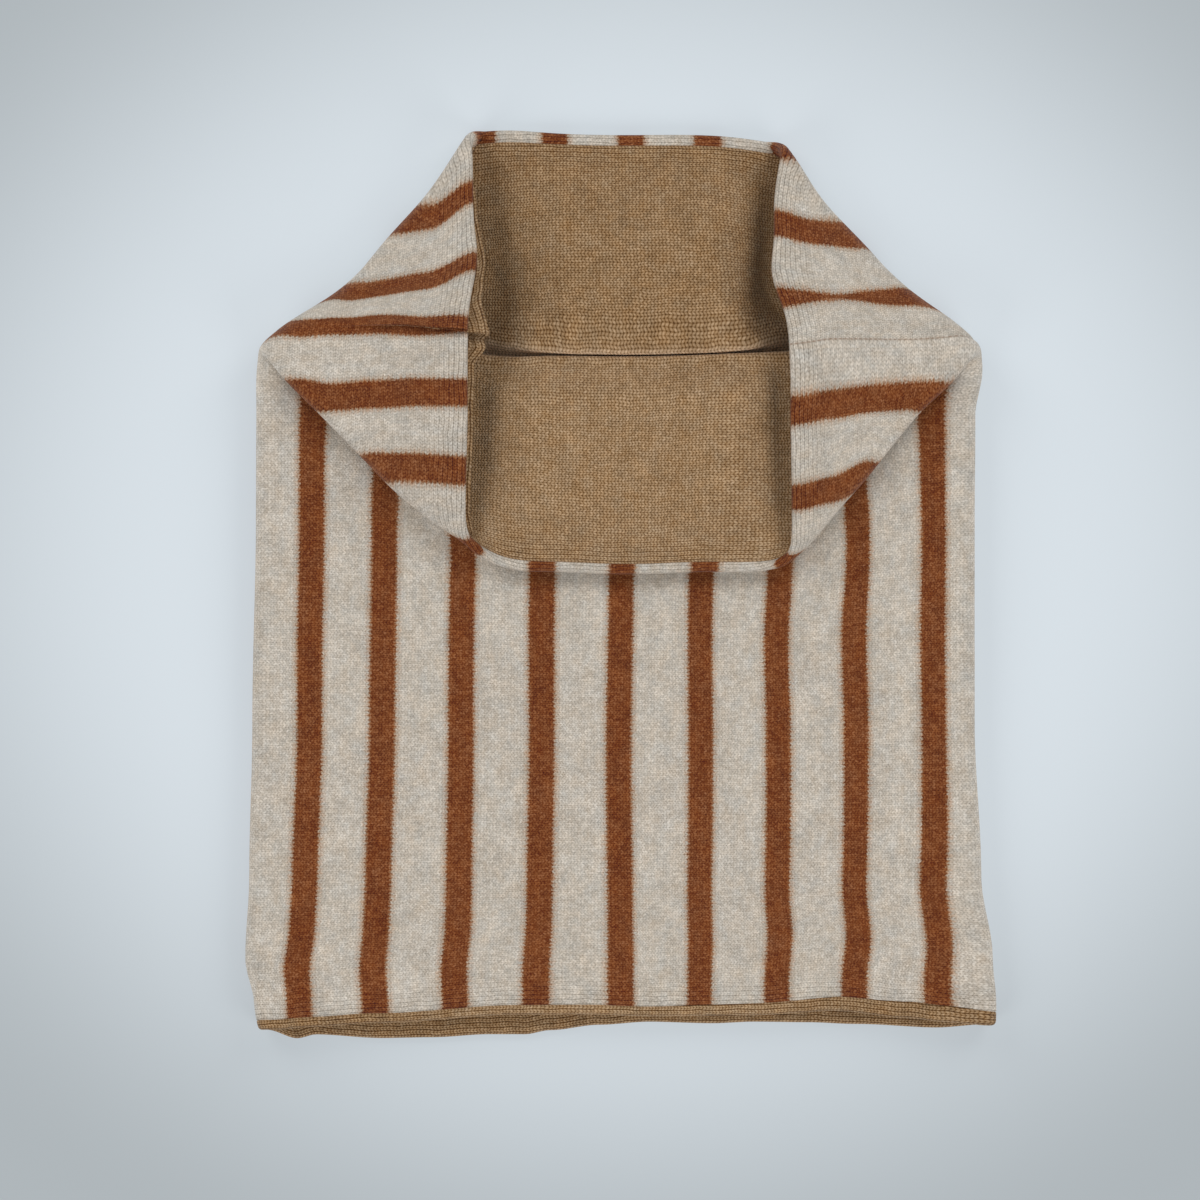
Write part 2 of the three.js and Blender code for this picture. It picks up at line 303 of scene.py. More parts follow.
def folded_point(side, sigma, t):
    """The folded cloth on one side of the centre line.

    sigma is the distance from the side edge, over 0 on the back and under 0 on the front. t is
    the distance above the fold line.
    """
    fold_reach = ROUND * STACK_STEP / 2
    opened = (t + round_abs(t, fold_reach)) / 2
    shut = (t - round_abs(t, fold_reach)) / 2
    opening = smooth(t, *OPENING)
    side_reach = ROUND * (FRONT_HEIGHT - BACK_HEIGHT) / 2
    outer_height = lerp(FLAP_HEIGHT, FLAP_LOW, smooth(opened, 0, FLAP_FALL))
    outer_reach = np.minimum(ROUND_DIAGONAL * (outer_height - BACK_HEIGHT) / 2, WIDEST_FOLD)
    back_reach = lerp(side_reach, outer_reach, opening)
    front_reach = lerp(side_reach, ROUND_DIAGONAL * STACK_STEP / 2, opening)
    front_reach = front_reach + CORNER_ROUND * smooth(t, CORNER_FROM, MOUTH)

    from_back = round_abs(sigma - opened, back_reach)
    from_front = round_abs(sigma + opened, front_reach)
    on_back = round_step(sigma - opened, back_reach)
    on_front = round_step(-sigma - opened, front_reach)
    swollen = back_swollen(side, sigma, t, opened)
    lean = BACK_LEAN["far"] * bump_at(t, BACK_LEAN) * swollen * on_back
    flap = flap_height(side, sigma, t) * (1 - on_back - on_front)
    back = (BACK_HEIGHT + swell_height(BACK_SWELL, t) * swollen) * on_back
    front = front_height(side, sigma, t, fold_reach) * on_front
    x = HALF_WIDTH - (from_back + from_front) / 2
    y = shut + (from_front - from_back) / 2 - lean
    return np.stack([x, y, flap + back + front], -1)


def rounded_point(side, sigma, t):
    """The same, averaged over a small disc of cloth close to the tip of the flap."""
    points = folded_point(side, sigma, t)
    disc = TIP_DISC * bump(sigma, 0, TIP_REACH) * bump(t, 0, TIP_REACH)
    moved = disc > TIP_DISC_LEAST
    side, sigma, t, disc = side[moved], sigma[moved], t[moved], disc[moved]
    total = np.zeros((len(disc), 3))
    for radius, weight, count, turn in TIP_RINGS:
        for i in range(count):
            angle = 2 * math.pi * (i + turn) / count
            across = disc * radius * math.cos(angle)
            along = disc * radius * math.sin(angle)
            total += weight * folded_point(side, sigma + across, t + along)
    points[moved] = total / sum(weight * count for _, weight, count, _ in TIP_RINGS)
    return points


def cloth_point(side, sigma, t):
    """The middle of the double cloth as it lies on the table. side is 1 right, -1 left."""
    point = rounded_point(side, sigma, t)
    x = side * point[..., 0]
    y = point[..., 1]
    z = point[..., 2]
    left = read_table(SIDE_EDGES, 1, y + BODY_LENGTH)
    right = read_table(SIDE_EDGES, 2, y + BODY_LENGTH)
    lying_x = x * lerp(left, right, smooth(x, -SIDE_BLEND, SIDE_BLEND)) / PLAIN_EDGE
    lying_y = y.copy()
    upper = smooth(t, *UPPER_FROM)
    drifts = [(*row, 1) for row in DRIFTS] + [(*row, upper) for row in UPPER_DRIFTS]
    for at_x, at_y, reach, dx, dy, share in drifts:
        away = bump(x, at_x, reach) * bump(y, at_y, reach) * share
        lying_x += dx * away
        lying_y += dy * away
    raised = np.clip((z - BACK_HEIGHT) / (FRONT_HEIGHT - BACK_HEIGHT), 0, 1)
    for wave_x, wave_y, turn, height in WAVES:
        z = z + raised * height * np.sin(2 * math.pi * (x / wave_x + y / wave_y) + turn)
    return np.stack([lying_x - MIDDLE_X, lying_y + BODY_LENGTH - MIDDLE_Y, z], -1)


# Small forms pressed into the cloth
TUCK_LINE = np.array([  # height over the fold line, sigma of the left flap's tuck, its depth
    (0, 6.0, 0.0),
    (24, 9.3, 0.1),
    (40, 9.7, 0.6),
    (52, 9.6, 1.2),
    (75, 8.5, 1.8),
    (82, 8.7, 2.0),
])
TUCK_FROM = (2.0, 10.0)  # heights over which it begins
TUCK_EDGE = 0.9  # reach of the step at its line
TUCK_FADE = 7.0  # reach of the raised cloth above it
TUCK_UPPER = 1.5  # how far the cloth above it stands up, for each depth
TUCK_LOWER = {"depth": 0.6, "away": -1.0, "reach": 3.0}  # the dip below it, for each depth
TUCK_OVERLAP = 1.4  # how far its upper side hangs over the lower one, for each depth
SEAM_LINE = np.array([  # height over the fold line, sigma of the right flap's seam
    (0, 3.0),
    (15, 3.7),
    (30, 3.3),
    (65, 3.5),
    (82, 2.0),
])
SEAM_FROM = (-20.0, 0.0)
SEAM_GROOVE = 0.8
SEAM_REACH = 0.8
HOLLOWS = [  # side, sigma, height, reach along sigma, reach along the height, depth
    (-1, 0, 58, 4.0, 13.0, 2.0),  # left flap, under the tuck
    (1, 19, 58, 3.5, 16.0, 0.9),  # right flap, where its stripe narrows
    (1, -12, 8, 6.0, 5.0, 0.8),
]
PUCKERS = {"sigma": 88, "t": 68, "reach": 9, "across": (-0.6, 0.8), "wave": 3.6, "height": 0.32}
# The lining's nap fills the crease between the back and the front
CREASE_BACK = {"fill": 1.6, "t": 5.5, "reach": 1.5}
CREASE_FRONT = {"fill": 0.8, "t": 2.5, "reach": 1.5}
NORMAL_STEP = 0.05  # distance between the points that tell the cloth's slope


def puckers(sigma, t):
    """Small slanting waves close to the upper corner of the right flap."""
    along_sigma, along_t = PUCKERS["across"]
    across = along_sigma * (sigma - PUCKERS["sigma"]) + along_t * (t - PUCKERS["t"])
    place = bump(sigma, PUCKERS["sigma"], PUCKERS["reach"]) * bump_at(t, PUCKERS)
    return PUCKERS["height"] * place * np.sin(2 * math.pi * across / PUCKERS["wave"])


def pressed(side, sigma, t):
    """How far the cloth stands out of its smooth lie."""
    away = sigma - read_table(TUCK_LINE, 1, t)
    above = round_step(away, TUCK_EDGE)
    upper = TUCK_UPPER * above * bump(np.maximum(away, 0), 0, TUCK_FADE)
    lower = TUCK_LOWER["depth"] * bump(away, TUCK_LOWER["away"], TUCK_LOWER["reach"])
    tuck = read_table(TUCK_LINE, 2, t) * (upper - lower * (1 - above)) * smooth(t, *TUCK_FROM)
    groove = bump(sigma, read_table(SEAM_LINE, 1, t), SEAM_REACH) * smooth(t, *SEAM_FROM)
    out = np.where(side < 0, tuck, puckers(sigma, t) - SEAM_GROOVE * groove)
    for at_side, at_sigma, at_t, reach, reach_t, depth in HOLLOWS:
        hollow = depth * bump(sigma, at_sigma, reach) * bump(t, at_t, reach_t)
        out = out - np.where(side == at_side, hollow, 0)
    return out


def overhang(side, sigma, t):
    """How far the cloth above the tuck slides down over the cloth below it."""
    away = sigma - read_table(TUCK_LINE, 1, t)
    slide = TUCK_OVERLAP * read_table(TUCK_LINE, 2, t) * round_step(away, TUCK_EDGE)
    slide = slide * bump(np.maximum(away - TUCK_EDGE, 0), 0, TUCK_FADE)
    return np.where(side < 0, slide * smooth(t, *TUCK_FROM), 0)


def fuller(side, sigma, t):
    """How much thicker the lining is in the crease."""
    back = CREASE_BACK["fill"] * bump_at(t, CREASE_BACK)
    front = CREASE_FRONT["fill"] * bump_at(t, CREASE_FRONT)
    back = back * between_flaps(side, np.maximum(sigma, 0), BACK_SWELL["slopes"])
    front = front * between_flaps(side, np.minimum(sigma, 0), FRONT_SWELL["slopes"])
    return back + front


def wall_points(side, sigma, t, depth):
    """Points of the wall, depth millimetres out of the middle of the double cloth."""
    step = NORMAL_STEP
    across = cloth_point(side, sigma + step, t) - cloth_point(side, sigma - step, t)
    along = cloth_point(side, sigma, t + step) - cloth_point(side, sigma, t - step)
    outward = np.cross(across, along) * side[..., None]
    outward /= np.linalg.norm(outward, axis=-1, keepdims=True)
    press = TIP_PRESS["amount"] * bump(sigma, TIP_PRESS["sigma"], TIP_PRESS["reach"])
    press = press * bump_at(t, TIP_PRESS)
    inner = depth * (1 - press) * (1 + fuller(side, sigma, t) / HALF_WALL)
    depth = np.where(depth < 0, inner, depth) + pressed(side, sigma, t)
    return cloth_point(side, sigma - overhang(side, sigma, t), t) + outward * depth[..., None]


# Places round the tube are measured from the seam at the right side edge, over the back to
# the left side edge and over the front back to the seam.
LINES = 420
FINE_PLACES = 4001
CROWDS = [  # place at the fold line, its shift for each millimetre up, how much closer, spread
    (0, 1, 1.6, 9.0),
    (2 * HALF_WIDTH, -1, 1.6, 9.0),
    (2 * HALF_WIDTH, 1, 1.6, 9.0),
    (AROUND, -1, 1.6, 9.0),
    (2 * HALF_WIDTH - 9, 0, 4.5, 3.0),  # the tuck
    (2.4, 0, 3.0, 2.0),  # the seam
]
CROWD_ROUND = 6.0  # how gently the shift begins over the fold line


def side_of(around):
    return np.where((around > HALF_WIDTH) & (around < 3 * HALF_WIDTH), -1.0, 1.0)


def sigma_of(around):
    from_left = 2 * HALF_WIDTH - around
    from_right = np.where(around > 2 * HALF_WIDTH, around - AROUND, around)
    return np.where(side_of(around) < 0, from_left, from_right)


def ring_places(t):
    """Where the lines from hem to rim cross the height t, closer together at the folds."""
    fine = np.linspace(0, AROUND, FINE_PLACES)
    opened = (t + math.hypot(t, CROWD_ROUND)) / 2
    crowd = np.ones_like(fine)
    for place, shift, closer, spread in CROWDS:
        away = (fine - place - shift * opened + AROUND / 2) % AROUND - AROUND / 2
        crowd += closer * bump(away, 0, spread)
    total = np.concatenate([[0], np.cumsum((crowd[1:] + crowd[:-1]) / 2)])
    return np.interp(np.linspace(0, total[-1], LINES + 1), total, fine)


def steps(start, end, step):
    """Evenly spaced places from start up to and without end."""
    count = max(1, round(abs(end - start) / step))
    return list(np.linspace(start, end, count + 1)[:-1])


ROW_MARKS = [-40, -14, 14, 60]  # heights between which the rows are evenly spaced
ROW_GAPS = [3.2, 2.0, 0.6, 1.0, 1.0]  # spacing below, between and above them, for each step
SEEN_STEP = 1.4
HIDDEN_STEP = 3.2
RIM_STEP = 1.0
HEM_STEP = 0.9
TURN_PARTS = np.linspace(0, 1, 11)[1:-1]


def body_rows(first, last, step):
    """Heights of the rows of a wall between two heights, closer where the front folds."""
    marks = [first, *ROW_MARKS, last]
    rows = []
    for start, end, gap in zip(marks, marks[1:], ROW_GAPS):
        rows += steps(start, end, gap * step)
    return rows + [last]


def turned(end, inner):
    """The round turn over the free edge that lies beyond end: rows of height, depth, length."""
    outward = 1 if end > 0 else -1
    rows = []
    for part in TURN_PARTS:
        angle = math.pi * part
        depth = HALF_WALL * math.cos(angle)
        rows.append((end + outward * HALF_WALL * math.sin(angle), inner * depth, HALF_WALL * angle))
    return rows


# The cuts through the two tubes are rows of height, depth and place along the cloth, with the
# seen face first. hidden tells where the face between the two cloths begins.
DROP = 0.4  # half the length over which a face drops to its tucked end
END_CLEAR = 0.05  # between a tucked end and the cloth over it
END_BULGE = 0.1  # how far the edge over it stands out
END_ROOM = 0.5  # beyond a tucked end
END_LEAVE = 1.0  # the length over which the face between the cloths leaves that room


def outer_cut():
    """Up the outside, over the rim and down to the end that is tucked under the lining."""
    top = MOUTH - HALF_WALL
    edge = MOUTH - RIM_TURN
    hem = HEM_TURN - BODY_LENGTH
    rows = [(t, TUCKED, t) for t in (hem - TUCK, hem - DROP)]
    rows += [(t, HALF_WALL, t) for t in body_rows(hem + DROP, top, SEEN_STEP)]
    rows += [(t, depth, top + length) for t, depth, length in turned(top, 1)]
    inside = 2 * top + HALF_WALL * math.pi
    last = edge + DROP
    rows += [(t, -HALF_WALL, inside - t) for t in steps(top, last, RIM_STEP) + [last]]
    rows += [(t, -TUCKED, inside - t) for t in (edge - DROP, edge - TUCK)]
    hidden = len(rows)
    for t in reversed(body_rows(hem - TUCK, edge - TUCK - END_LEAVE, HIDDEN_STEP)):
        rows.append((t, LAYER_GAP / 2, inside - t + LAYER))
    return rows, hidden


def lining_cut():
    """Down the inside, round the hem and up to the edge that lies over the outer cloth's end."""
    top = MOUTH - RIM_TURN
    bottom = HALF_WALL - BODY_LENGTH
    edge = HEM_TURN - BODY_LENGTH
    under = TUCKED + END_CLEAR
    rows = [(top + END_BULGE, -under - DROP, top + END_BULGE)]
    rows += [(t, -HALF_WALL, t) for t in reversed(body_rows(bottom, top - DROP, SEEN_STEP))]
    rows += [(t, depth, bottom - length) for t, depth, length in turned(bottom, -1)]
    outside = 2 * bottom - HALF_WALL * math.pi
    last = edge - DROP
    rows += [(t, HALF_WALL, outside - t) for t in steps(bottom, last, HEM_STEP) + [last]]
    rows.append((edge + END_BULGE, under + DROP, outside - edge))
    rows.append((edge, under, outside - edge - END_ROOM))
    hidden = len(rows)
    low_room = edge - TUCK - END_ROOM
    high_room = top - TUCK - END_ROOM
    rows.append((low_room, under, outside - edge - END_LEAVE))
    for t in body_rows(low_room + END_LEAVE, high_room - END_LEAVE, HIDDEN_STEP):
        rows.append((t, -LAYER_GAP / 2, outside - t - LAYER))
    rows.append((high_room, -under, outside - top))
    rows.append((top, -under, outside - top - TUCK))
    return rows, hidden


def hem_shift(side, sigma, t):
    """How far the cloth is above its straight place close to the hem, and how much of that is
    because the turn is wider there."""
    x = side * (HALF_WIDTH - np.abs(sigma))
    on_back = smooth(sigma, -HEM_SIDE, HEM_SIDE)
    over = t + BODY_LENGTH
    lift = lerp(read_table(HEM_FRONT, 1, x), read_table(HEM_BACK, 1, x), on_back)
    lift = lift * (1 - smooth(over, *HEM_LIFT_FADE))
    wider = read_table(HEM_WIDER, 1, x) * (1 - on_back)
    wider = wider * smooth(over, HALF_WALL, HEM_TURN - DROP) * (1 - smooth(over, *HEM_WIDER_FADE))
    return lift + wider, wider


# Rust stripes: the middle of each, measured from the side edges. Back and front are as the
# cloth was knitted. PULLED tells where the same stripes lie at heights over the fold line.
STRIPE = 9.45
LEFT_BACK = [5.2, 33, 62, 91, 120]
RIGHT_BACK = [22, 50, 78, 106, 134]
LEFT_FRONT = [23.5, 51, 81, 111.4]
RIGHT_FRONT = [17.8, 48.6, 79.2, 110, 142]
SEAM = 0.0
PULLED = [  # height, left back, right back, left front, right front, seam
    (-262, LEFT_BACK, RIGHT_BACK, [17.6, 47.6, 78.3, 109.3], [23.8, 54.3, 83.2, 111.8, 140.8], 0),
    (-228, LEFT_BACK, RIGHT_BACK, [22.2, 50, 80.8, 110.8], [21.4, 51.2, 81, 111.2, 141.2], 0),
    (-150, LEFT_BACK, RIGHT_BACK, LEFT_FRONT, RIGHT_FRONT, SEAM),
    (-96, LEFT_BACK, RIGHT_BACK, [23, 51, 80.8, 111.2], [18.5, 51.4, 82, 111, 141.2], SEAM),
    (-30, [5.5, 33, 62, 91, 120], RIGHT_BACK, [22.6, 50.2, 80.8, 111.2],
     [19.5, 52, 83, 111, 141.2], 1),
    (0, [6, 29, 60, 89, 118], [20, 47, 80, 108, 136], [21.5, 50.2, 80.3, 111.2],
     [20.5, 51, 80, 110.3, 141], 3),
    (15, [8.2, 20, 56, 88, 117], [17.5, 44, 80, 108, 137], [17, 49.5, 80.3, 111.2],
     [20.2, 50, 79.5, 110.3, 141], 3.7),
    (30, [11.1, 22.8, 54, 87, 116], [21, 43, 80, 108, 137.5], [19.9, 48, 80.3, 111.2],
     [20.0, 47.5, 79.5, 110.3, 141], 3.3),
    (47, [11.5, 23.8, 51.2, 87, 116], [20.4, 44.8, 80, 108, 137.5], [18.4, 45.2, 80.3, 111.2],
     [20.4, 46.2, 79.5, 110.3, 141], 3.4),
    (65, [9.5, 24.8, 52, 87, 116], [19.3, 45.9, 80, 108, 137.5], [16.6, 45.0, 80.3, 111.2],
     [21.5, 51.3, 79.5, 110.3, 141], 3.5),
    (82, [10.2, 32.6, 59.6, 87, 116], [18.5, 48.9, 80, 108, 137.5], [15.8, 45.2, 80.3, 111.2],
     [23.3, 53.6, 79.5, 110.3, 141], 2),
]


def round_trip(left_back, right_back, left_front, right_front, seam):
    """The same places measured round the tube from the right side edge, with the seam."""
    return np.array(
        [-right_front[0], seam]
        + right_back
        + [2 * HALF_WIDTH - place for place in reversed(left_back)]
        + [2 * HALF_WIDTH + place for place in left_front]
        + [AROUND - place for place in reversed(right_front)]
        + [AROUND + seam]
    )


KNITTED = round_trip(LEFT_BACK, RIGHT_BACK, LEFT_FRONT, RIGHT_FRONT, SEAM)
STRIPES = KNITTED[2:-1]
PINCHES = [  # where a stripe narrows: place, height, reach along the height, how far
    (RIGHT_BACK[0], 60, 19, 3.5),
    (2 * HALF_WIDTH - LEFT_BACK[0], 86, 12, 1.6),
    (2 * HALF_WIDTH - LEFT_BACK[0], 58, 22, -1.3),
    (2 * HALF_WIDTH - LEFT_BACK[1], 82, 14, 0.9),
    (2 * HALF_WIDTH - LEFT_BACK[2], 82, 25, 0.8),
    (2 * HALF_WIDTH + LEFT_FRONT[0], 60, 30, -0.7),
    (AROUND - RIGHT_FRONT[0], 76, 16, 0.7),
    (AROUND - RIGHT_FRONT[0], -255, 35, 0.7),
]


def knitted_place(around, t):
    """Where a place round the lying tube was in the cloth as it was knitted."""
    heights = np.array([row[0] for row in PULLED])
    lying = np.array([np.interp(around, round_trip(*row[1:]), KNITTED) for row in PULLED])
    row = np.clip(np.searchsorted(heights, t) - 1, 0, len(heights) - 2)
    part = smooth(t, heights[row], heights[row + 1])
    below = np.take_along_axis(lying, row[None], 0)[0]
    above = np.take_along_axis(lying, row[None] + 1, 0)[0]
    return lerp(below, above, part)


def stripe_edges(place, t):
    """How far each place is outside the nearest stripe's edge, and which way that grows."""
    away = place[..., None] - STRIPES
    nearest = np.abs(away).argmin(-1)
    away = np.take_along_axis(away, nearest[..., None], -1)[..., 0]
    edge = np.abs(away) - STRIPE / 2
    for at, at_t, reach, narrower in PINCHES:
        edge += narrower * bump(t, at_t, reach) * bump(place, at, STRIPE)
    return edge, np.sign(away)


# The lining looks past the rim of the left flap, under the outer cloth's turned edge
PEEK = np.array([  # sigma, how far
    (-82, 0.0),
    (-70, 1.5),
    (-30, 2.0),
    (-5, 2.4),
    (2.5, 6.8),
    (4.8, 6.0),
    (8, 8.4),
    (22, 3.6),
    (32, 3.1),
    (51, 1.6),
    (75, 0.0),
])
PEEK_SHOWN = 1.2  # how far it looks out where it has wholly left its place
PEEK_FROM = 50.0  # height from which it is drawn out
PEEK_DROP = 1.9  # how far it leaves the outer cloth
PEEK_DROP_RISE = (65.0, 73.0)
PEEK_CURL = 1.2  # how far its end curls up again
PEEK_CURL_RISE = (MOUTH, MOUTH + 6)


def peeking(side, sigma, t, depth):
    """Places of the lining, with its end moved on where it looks past the rim."""
    far = np.where(side < 0, read_table(PEEK, 1, sigma), 0)
    shown = smooth(far, 0, PEEK_SHOWN)
    on = t + (RIM_TURN + far) * shown * smooth(t, PEEK_FROM, MOUTH - RIM_TURN)
    drop = PEEK_DROP * smooth(on, *PEEK_DROP_RISE) - PEEK_CURL * smooth(on, *PEEK_CURL_RISE)
    return on, depth - drop * shown


HIDDEN_SHARE = 0.12  # room that a hidden length gets in the bake map


def closed(grid):
    """The grid of a cut with its first row again at the end."""
    return np.vstack([grid, grid[:1]])


def cloth_maps(cut, around, wider):
    """The maps of the cloth at each row and line, both ends of the round included."""
    rows, hidden = cut
    height, _, along = (np.array(column) for column in zip(*rows))
    high = np.repeat(height[:, None], LINES + 1, 1)
    place = knitted_place(around, high)
    edge, way = stripe_edges(place, high)

    # the last row closes on the first, so its maps go on past it
    on = np.append(along, 2 * along[-1] - along[-2])
    share = np.where(np.arange(len(rows)) < hidden, 1.0, HIDDEN_SHARE) * np.abs(np.diff(on))
    laid = np.concatenate([[0], np.cumsum(share)]) / share.sum()

    # the cloth of a wider turn is longer
    longer = wider * np.sign(np.gradient(along) * np.gradient(height))[:, None]
    longer = np.hstack([longer, longer[:, :1]])
    return {
        "OFBake": np.meshgrid(np.arange(LINES + 1) / LINES, laid),
        "Cloth": (closed(place), on[:, None] + closed(longer)),
        "Stripes": (closed(edge), closed(way)),
    }


def tube_mesh(name, cut, place=None):
    """Sweeps a cut round the tube into one closed mesh with its cloth maps."""
    rows, _ = cut
    height, depth, _ = (np.array(column) for column in zip(*rows))
    around = np.array([ring_places(t) for t in height])
    side = side_of(around[:, :-1])
    sigma = sigma_of(around[:, :-1])
    t = np.repeat(height[:, None], LINES, 1)
    shift, wider = hem_shift(side, sigma, t)
    t = t + shift
    depth = np.repeat(depth[:, None], LINES, 1)
    if place:
        t, depth = place(side, sigma, t, depth)
    points = wall_points(side, sigma, t, depth) * MM

    count = len(rows)
    row, line = (grid.ravel() for grid in np.mgrid[0:count, 0:LINES])
    next_row, next_line = (row + 1) % count, (line + 1) % LINES
    ring = [(next_row, line), (next_row, next_line), (row, next_line), (row, line)]
    faces = np.stack([at_row * LINES + at_line for at_row, at_line in ring], 1)
    mesh = bpy.data.meshes.new(name)
    mesh.from_pydata(points.reshape(-1, 3), [], faces.tolist())
    mesh.polygons.foreach_set("use_smooth", [True] * len(faces))

    corner_row = np.stack([row + 1, row + 1, row, row], 1).ravel()
    corner_line = np.stack([line, line + 1, line + 1, line], 1).ravel()
    for layer, (u, v) in cloth_maps(cut, around, wider).items():
        uv = np.stack([u[corner_row, corner_line], v[corner_row, corner_line]], 1)
        mesh.uv_layers.new(name=layer).data.foreach_set("uv", uv.ravel())
    mesh.validate()
    return mesh


class Wire:
    """A number in a node tree. Arithmetic on it adds Math nodes."""

    def __init__(self, tree, socket):
        self.tree = tree
        self.socket = socket

    def math(self, operation, *others, clamp=False):
        node = self.tree.nodes.new("ShaderNodeMath")
        node.operation = operation
        node.use_clamp = clamp
        for place, value in enumerate((self, *others)):
            feed(self.tree, value, node.inputs[place])
        return Wire(self.tree, node.outputs[0])

    def __add__(self, other):
        return self.math("ADD", other)

    def __sub__(self, other):
        return self.math("SUBTRACT", other)

    def __mul__(self, other):
        return self.math("MULTIPLY", other)

    def __truediv__(self, other):
        return self.math("DIVIDE", other)

    def __abs__(self):
        return self.math("ABSOLUTE")

    def rest(self):
        return self.math("FRACT")

    def floor(self):
        return self.math("FLOOR")

    def ramp(self, low, high):
        """0 below low, 1 above high and smooth between."""
        node = self.tree.nodes.new("ShaderNodeMapRange")
        node.interpolation_type = "SMOOTHSTEP"
        feed(self.tree, self, node.inputs["Value"])
        node.inputs["From Min"].default_value = low
        node.inputs["From Max"].default_value = high
        return Wire(self.tree, node.outputs["Result"])

    def fade(self, low, high, amount):
        """The amount below low, 0 above high and smooth between."""
        return self.ramp(low, high) * -amount + amount


def feed(tree, value, socket):
    if isinstance(value, Wire):
        tree.links.new(value.socket, socket)
    else:
        socket.default_value = value


def split_map(tree, layer):
    """The two numbers of a UV map."""
    source = tree.nodes.new("ShaderNodeUVMap")
    source.uv_map = layer
    split = tree.nodes.new("ShaderNodeSeparateXYZ")
    tree.links.new(source.outputs[0], split.inputs[0])
    return Wire(tree, split.outputs[0]), Wire(tree, split.outputs[1])


def joined(tree, x, y):
    node = tree.nodes.new("ShaderNodeCombineXYZ")
    feed(tree, x, node.inputs[0])
    feed(tree, y, node.inputs[1])
    return node.outputs[0]


def noise(tree, around, along, cloud):
    """Cloudy noise about 0."""
    node = tree.nodes.new("ShaderNodeTexNoise")
    node.noise_dimensions = "2D"
    node.inputs["Scale"].default_value = 1.0
    node.inputs["Detail"].default_value = cloud["detail"]
    node.inputs["Roughness"].default_value = cloud["roughness"]
    places = zip((around, along), cloud["size"], cloud["from"])
    x, y = (place / size + start for place, size, start in places)
    tree.links.new(joined(tree, x, y), node.inputs["Vector"])
    return Wire(tree, node.outputs[0]) - 0.5


def chance(tree, x, y):
    """Another number about 0 for each pair of whole numbers."""
    node = tree.nodes.new("ShaderNodeTexWhiteNoise")
    node.noise_dimensions = "2D"
    tree.links.new(joined(tree, x, y), node.inputs["Vector"])
    return Wire(tree, node.outputs[0]) - 0.5


def vector_math(tree, operation, *values):
    node = tree.nodes.new("ShaderNodeVectorMath")
    node.operation = operation
    for place, value in enumerate(values):
        feed(tree, value, node.inputs[place])
    return Wire(tree, node.outputs["Value" if operation == "DISTANCE" else "Vector"])


def mixed(tree, part, first, second):
    """A colour between two colours, each a Wire or three numbers."""
    node = tree.nodes.new("ShaderNodeMix")
    node.data_type = "RGBA"
    feed(tree, part, node.inputs[0])
    for value, socket in ((first, node.inputs[6]), (second, node.inputs[7])):
        if isinstance(value, Wire):
            tree.links.new(value.socket, socket)
        else:
            socket.default_value = (*value, 1.0)
    return Wire(tree, node.outputs[2])


def tinted(tree, colour, amount, tint):
    """A colour with amount times a tint added to it."""
    return vector_math(tree, "MULTIPLY_ADD", amount, tint, colour)


def to_light(tree, colour):
    """Turns a colour on the scale that the eye sees into an amount of light."""
    gamma = tree.nodes.new("ShaderNodeGamma")
    gamma.inputs["Gamma"].default_value = EYE_GAMMA
    feed(tree, vector_math(tree, "MAXIMUM", colour, DARKEST), gamma.inputs["Color"])
    return Wire(tree, gamma.outputs[0])


# The two knits. Their gaps are the depths between courses, between the legs of a stitch, between
# wales, where these cross, and between the wales that an edge pulls apart.
OUTER_KNIT = {
    "wale": 1.75,
    "course": 1.22,
    "slant": 0.5,
    "gaps": {"courses": 0.25, "legs": 0.15, "wales": 0.07, "crossings": 0.15, "pulled": 0.4},
    "relief": 0.26,
}
LINING_KNIT = {
    "wale": 1.86,
    "course": 1.3,
    "slant": 0.5,
    "gaps": {"courses": 0.50, "legs": 0.34, "wales": 0.10, "crossings": 0.2, "pulled": 0.5},
    "relief": 0.32,
}
YARN_EDGE = (0.3, 1.0)  # where a yarn begins to fall off, as a share of half its width
WALE_EDGE = (0.6, 1.0)
PULL_FROM = 18.0  # distances from rim and hem where the pull begins and where it is full
PULL_FULL = 3.0
RELIEF_STRENGTH = 0.8
RELIEF_YARN = 0.8  # how much of the relief the stitches make, and how much the fuzz
RELIEF_FUZZ = 0.8
YARN_SURFACE = {
    "Roughness": 0.95,
    "Specular IOR Level": 0.15,
    "Sheen Weight": 0.12,
    "Sheen Roughness": 0.6,
}

# Clouds of noise: their size round the tube and along it in millimetres
BEND = {"size": (9.0, 9.0), "from": (0.0, 0.0), "detail": 1.0, "roughness": 0.5}
FUZZ = {"size": (0.6, 0.6), "from": (0.0, 0.0), "detail": 2.0, "roughness": 0.5}
OAT_HEATHER = {"size": (10.0, 13.0), "from": (0.0, 0.0), "detail": 4.0, "roughness": 0.8}
OAT_WARMTH = {"size": (6.0, 9.0), "from": (31.0, 5.0), "detail": 3.0, "roughness": 0.7}
CAMEL_HEATHER = {"size": (10.0, 12.0), "from": (0.0, 0.0), "detail": 4.0, "roughness": 0.75}
CAMEL_WARMTH = {"size": (7.0, 7.0), "from": (11.0, 3.0), "detail": 3.0, "roughness": 0.7}

